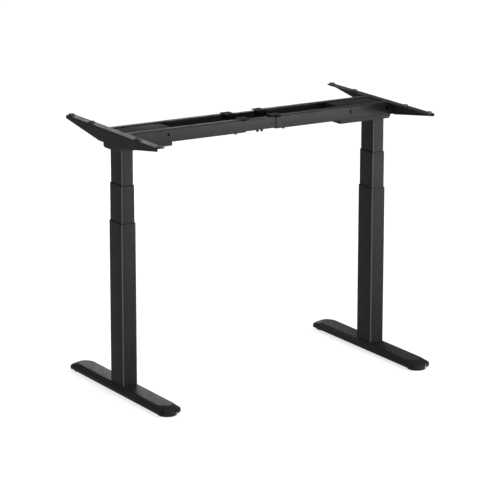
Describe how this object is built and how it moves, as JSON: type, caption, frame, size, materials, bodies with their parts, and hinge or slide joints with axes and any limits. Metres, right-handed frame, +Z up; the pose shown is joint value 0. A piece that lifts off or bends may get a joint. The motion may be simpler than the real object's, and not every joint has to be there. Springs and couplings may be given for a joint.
{
  "type": "standing desk frame",
  "caption": "Height-adjustable standing desk frame: telescopic columns on long feet, a width-adjusting twin-rail beam and side arms that carry a desk top.",
  "frame": {"origin": "on the floor, midway between the two columns and midway between the feet's ends", "axes": "+X along the beam to the right column, +Y to the back, +Z up"},
  "size_m": [1.04, 0.628, 0.871],
  "materials": {
    "foot_coat": "satin charcoal powder coat",
    "tube_coat": "satin charcoal powder coat",
    "head_coat": "satin charcoal powder coat",
    "arm_coat": "satin charcoal powder coat",
    "rail_coat": "satin charcoal powder coat",
    "zinc_steel": "zinc plated",
    "screw_steel": "ground and greased",
    "black_steel": "black oxide",
    "gear_casing": "die cast",
    "motor_can": "satin black paint",
    "nylon": "moulded nylon",
    "pad_rubber": "matt moulded rubber",
    "glide_plastic": "gloss moulded plastic"
  },
  "bodies": {
    "left_base": {"left_foot": "foot_coat", "left_foot_bolts": "zinc_steel", "left_base_plate": "zinc_steel", "left_outer_tube": "tube_coat", "left_outer_guide": "nylon", "left_lower_screw": "screw_steel"},
    "left_middle": {"left_middle_tube": "tube_coat", "left_middle_guide": "nylon", "left_middle_slider": "nylon"},
    "left_screw": {"left_hollow_screw": "screw_steel"},
    "left_upper": {"left_inner_tube": "tube_coat", "left_inner_slider": "nylon", "left_screw_nut": "screw_steel", "left_gearbox": "gear_casing", "left_motor": "motor_can", "left_head": "head_coat", "left_head_cover": "head_coat", "left_head_bolts": "zinc_steel", "left_arm": "arm_coat", "left_flush_screws": "black_steel", "left_arm_pads": "pad_rubber", "left_front_rail": "rail_coat", "left_back_rail": "rail_coat", "left_rail_clips": "nylon", "left_lock_screws": "black_steel"},
    "left_rod": {"left_drive_rod": "screw_steel"},
    "left_front_glide": {"left_front_glide": "glide_plastic"},
    "left_rear_glide": {"left_rear_glide": "glide_plastic"},
    "right_base": {"right_foot": "foot_coat", "right_foot_bolts": "zinc_steel", "right_base_plate": "zinc_steel", "right_outer_tube": "tube_coat", "right_outer_guide": "nylon", "right_lower_screw": "screw_steel"},
    "right_middle": {"right_middle_tube": "tube_coat", "right_middle_guide": "nylon", "right_middle_slider": "nylon"},
    "right_screw": {"right_hollow_screw": "screw_steel"},
    "right_upper": {"right_inner_tube": "tube_coat", "right_inner_slider": "nylon", "right_screw_nut": "screw_steel", "right_gearbox": "gear_casing", "right_motor": "motor_can", "right_head": "head_coat", "right_head_cover": "head_coat", "right_head_bolts": "zinc_steel", "right_arm": "arm_coat", "right_flush_screws": "black_steel", "right_arm_pads": "pad_rubber", "right_front_rail": "rail_coat", "right_back_rail": "rail_coat", "right_rail_clips": "nylon", "right_lock_screws": "black_steel"},
    "right_rod": {"right_drive_rod": "screw_steel"},
    "right_front_glide": {"right_front_glide": "glide_plastic"},
    "right_rear_glide": {"right_rear_glide": "glide_plastic"},
    "centre_beam": {"centre_front_rail": "rail_coat", "centre_back_rail": "rail_coat", "centre_brace": "rail_coat", "brace_bolts": "black_steel"}
  },
  "joints": [
    {"name": "left_lift", "type": "slide", "parent": "left_base", "child": "left_middle", "axis": [0, 0, 1], "range_m": [-0.112, 0.213]},
    {"name": "left_top_lift", "type": "slide", "parent": "left_middle", "child": "left_upper", "axis": [0, 0, 1], "range_m": [-0.112, 0.213]},
    {"name": "left_width", "type": "slide", "parent": "left_upper", "child": "centre_beam", "axis": [1, 0, 0], "range_m": [-0.04, 0.13]},
    {"name": "right_width", "type": "slide", "parent": "centre_beam", "child": "right_upper", "axis": [1, 0, 0], "range_m": [-0.04, 0.13]},
    {"name": "right_top_lift", "type": "slide", "parent": "right_upper", "child": "right_middle", "axis": [0, 0, -1], "range_m": [-0.112, 0.213]},
    {"name": "right_lift", "type": "slide", "parent": "right_middle", "child": "right_base", "axis": [0, 0, -1], "range_m": [-0.112, 0.213]},
    {"name": "left_screw_spin", "type": "hinge", "parent": "left_middle", "child": "left_screw", "pos_m": [-0.479, 0, 0.4], "axis": [0, 0, 1], "range_deg": [-2525, 4797.5]},
    {"name": "left_rod_spin", "type": "hinge", "parent": "left_upper", "child": "left_rod", "pos_m": [-0.479, 0, 0.4], "axis": [0, 0, 1], "range_deg": [-2525, 4797.5]},
    {"name": "right_screw_spin", "type": "hinge", "parent": "right_middle", "child": "right_screw", "pos_m": [0.479, 0, 0.4], "axis": [0, 0, 1], "range_deg": [-2525, 4797.5]},
    {"name": "right_rod_spin", "type": "hinge", "parent": "right_upper", "child": "right_rod", "pos_m": [0.479, 0, 0.4], "axis": [0, 0, 1], "range_deg": [-2525, 4797.5]},
    {"name": "left_front_glide_screw", "type": "slide", "parent": "left_base", "child": "left_front_glide", "axis": [0, 0, -1], "range_m": [0, 0.012]},
    {"name": "left_rear_glide_screw", "type": "slide", "parent": "left_base", "child": "left_rear_glide", "axis": [0, 0, -1], "range_m": [0, 0.012]},
    {"name": "right_front_glide_screw", "type": "slide", "parent": "right_base", "child": "right_front_glide", "axis": [0, 0, -1], "range_m": [0, 0.012]},
    {"name": "right_rear_glide_screw", "type": "slide", "parent": "right_base", "child": "right_rear_glide", "axis": [0, 0, -1], "range_m": [0, 0.012]}
  ],
  "couplings": [
    {"joint": "left_top_lift", "follows": "left_lift", "ratio": 1},
    {"joint": "right_top_lift", "follows": "left_lift", "ratio": 1},
    {"joint": "right_lift", "follows": "left_lift", "ratio": 1},
    {"joint": "right_width", "follows": "left_width", "ratio": 1},
    {"joint": "left_screw_spin", "follows": "left_lift", "rad_per_m": 392.7},
    {"joint": "left_rod_spin", "follows": "left_lift", "rad_per_m": 392.7},
    {"joint": "right_screw_spin", "follows": "left_lift", "rad_per_m": 392.7},
    {"joint": "right_rod_spin", "follows": "left_lift", "rad_per_m": 392.7}
  ]
}
